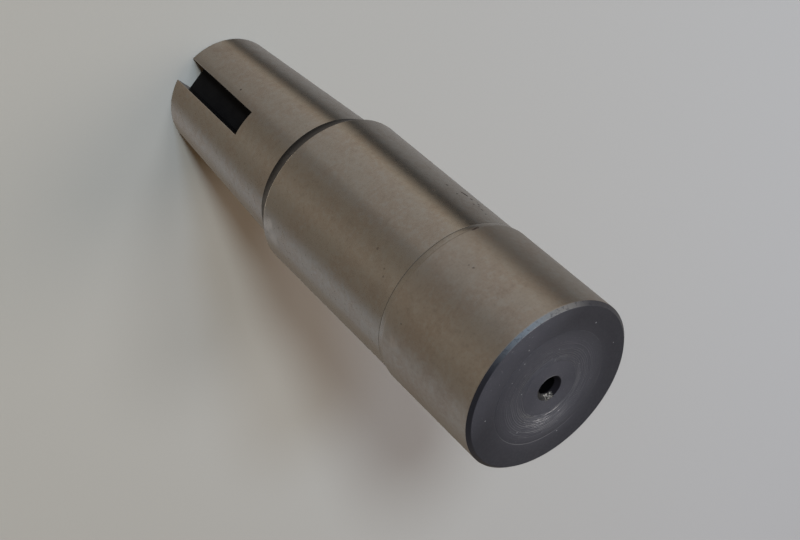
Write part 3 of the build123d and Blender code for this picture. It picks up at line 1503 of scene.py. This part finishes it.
@dataclass
class Table:
    """The plain pale top that the shaft stands on.

    Attributes:
        width: How wide it is, in m.
        colour: The paper's colour.
        shaded: Its colour where less light falls.
        fibres: The paper's fibres.
        fibre_shade: The colour between them, as a share of the paper's.
        paler_towards: The direction in which it grows paler.
        paler: How far along that direction it does, in m.
        roughness: Its roughness.
        shine: How strong its reflection is.
    """

    width: float = 8.0
    colour: Colour = (0.53, 0.53, 0.53)
    shaded: Colour = (0.430, 0.405, 0.352)
    fibres: Pattern = Pattern(0.9 * MM)
    fibre_shade: Colour = (0.97, 0.97, 0.97)
    paler_towards: Point = (-0.735, 0.678, 0.0)
    paler: Ramp = Ramp(-0.20, 0.45)
    roughness: float = 0.9
    shine: float = 0.1

    def build(self) -> bpy.types.Object:
        """Lay the top.

        Returns:
            The top, which isn't part of the shaft.
        """
        bpy.ops.object.select_all(action="DESELECT")
        bpy.ops.mesh.primitive_plane_add(size=self.width)
        top = bpy.context.object
        top.name = "table_top"
        top.visible_glossy = False
        made = bpy.data.materials.new("pale_paper")
        made.use_nodes = True
        graph = Graph(made.node_tree)
        place = graph.node("ShaderNodeTexCoord").outputs["Object"]
        across = graph.along(place, self.paler_towards)
        tint = graph.blend(graph.spread(across, self.paler), self.shaded, self.colour)
        darker = graph.blend(1.0, tint, self.fibre_shade, "MULTIPLY")
        tint = graph.blend(graph.noise(place, self.fibres), tint, darker)
        shader = graph.node("ShaderNodeBsdfPrincipled")
        shader.inputs["Roughness"].default_value = self.roughness
        shader.inputs["Specular IOR Level"].default_value = self.shine
        graph.feed(shader.inputs["Base Color"], tint)
        graph.feed(graph.node("ShaderNodeOutputMaterial").inputs["Surface"], shader.outputs[0])
        top.data.materials.append(made)
        return top


@dataclass
class SoftLamp:
    """A round soft light that looks at the middle of the shaft.

    Attributes:
        name: What it is called.
        bearing: Its direction from +Y towards +X, in degrees.
        elevation: How high it stands, in degrees.
        distance: How far away it is, in m.
        size: How wide it is, in m.
        power: Its power, in W.
        colour: Its colour.
        mirrored: Whether the steel mirrors it.
        spreads: Whether it lights what is dull.
    """

    name: str
    bearing: float
    elevation: float
    distance: float
    size: float
    power: float
    colour: Colour
    mirrored: bool = True
    spreads: bool = True

    def build(self, target: Vector) -> bpy.types.Object:
        """Hang the lamp.

        Args:
            target: What it looks at, in metres.

        Returns:
            The lamp.
        """
        turn, lift = math.radians(self.bearing), math.radians(self.elevation)
        away = Vector((math.sin(turn) * math.cos(lift), math.cos(turn) * math.cos(lift), math.sin(lift)))
        light = bpy.data.lights.new(self.name, "AREA")
        light.shape, light.size = "DISK", self.size
        light.energy, light.color = self.power, self.colour
        lamp = bpy.data.objects.new(self.name, light)
        bpy.context.scene.collection.objects.link(lamp)
        lamp.location = target + away * self.distance
        lamp.rotation_mode = "QUATERNION"
        lamp.rotation_quaternion = (-away).to_track_quat("-Z", "Y")
        lamp.visible_glossy, lamp.visible_diffuse = self.mirrored, self.spreads
        return lamp


# The lights from the lowest up, and a small one that only the steel mirrors.
LAMPS = (
    SoftLamp("window", 203.0, 35.0, 5.0, 0.80, 198.0, SUNLIT, mirrored=False),
    SoftLamp("curtain", 215.0, 46.0, 5.0, 0.80, 72.0, DAYLIGHT, mirrored=False),
    SoftLamp("skylight", 234.0, 59.0, 5.0, 1.10, 49.0, HAZE, mirrored=False),
    SoftLamp("ceiling", 290.0, 69.0, 5.0, 2.00, 44.0, BOUNCE, mirrored=False),
    SoftLamp("glint", 359.0, 49.0, 1.0, 0.26, 0.6, GLINT, spreads=False),
)


@dataclass
class Viewpoint:
    """The camera: the point on its own axis that it looks at, and its attitude.

    Attributes:
        target: The point that it looks at, in mm.
        distance: How far from that point it stands, in mm.
        bearing: The direction in which it looks, from +Y towards +X, in degrees.
        drop: How far below the horizon it looks, in degrees.
        roll: How far it is rolled round its own axis, in degrees.
        lens: Its focal length, in mm.
        film_width: The width of its film, in mm.
        nearest: The nearest that it sees, in m.
        farthest: The farthest that it sees, in m.
    """

    target: Point = (3.421, -0.509, 100.668)
    distance: float = 375.757
    bearing: float = 8.4687
    drop: float = 38.7125
    roll: float = 132.635
    lens: float = 62.596
    film_width: float = 36.0
    nearest: float = 0.01
    farthest: float = 20.0

    def build(self) -> bpy.types.Object:
        """Place the camera.

        Returns:
            The camera, which is the scene's own.
        """
        turn, lift = math.radians(self.bearing), math.radians(-self.drop)
        look = Vector((math.sin(turn) * math.cos(lift), math.cos(turn) * math.cos(lift), math.sin(lift)))
        film = bpy.data.cameras.new("viewpoint")
        film.lens, film.sensor_width, film.sensor_fit = self.lens, self.film_width, "HORIZONTAL"
        film.clip_start, film.clip_end = self.nearest, self.farthest
        camera = bpy.data.objects.new("viewpoint", film)
        bpy.context.scene.collection.objects.link(camera)
        level = look.to_track_quat("-Z", "Y").to_matrix().to_4x4()
        tilt = Matrix.Rotation(math.radians(self.roll), 4, "Z")
        place = (Vector(self.target) - look * self.distance) * MM
        camera.matrix_world = Matrix.Translation(place) @ level @ tilt
        bpy.context.scene.camera = camera
        return camera


def main() -> None:
    """Build the shaft, the studio and the viewpoint, and log the body's face count."""
    logging.basicConfig(level=logging.INFO, format="%(name)s: %(message)s")
    low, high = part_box(STEEL_NODE)
    length, head_radius = (high.z - low.z) / MM, (high.x - low.x) / 2 / MM
    body = Shaft(length=length, head_radius=head_radius).build()
    log.info("%s: %d faces", body.name, len(body.data.polygons))
    middle = (low + high) / 2
    Table().build()
    Room().build()
    for lamp in LAMPS:
        lamp.build(middle)
    Viewpoint().build()
    bpy.context.scene.view_settings.view_transform = "Standard"


if __name__ == "__main__":
    main()
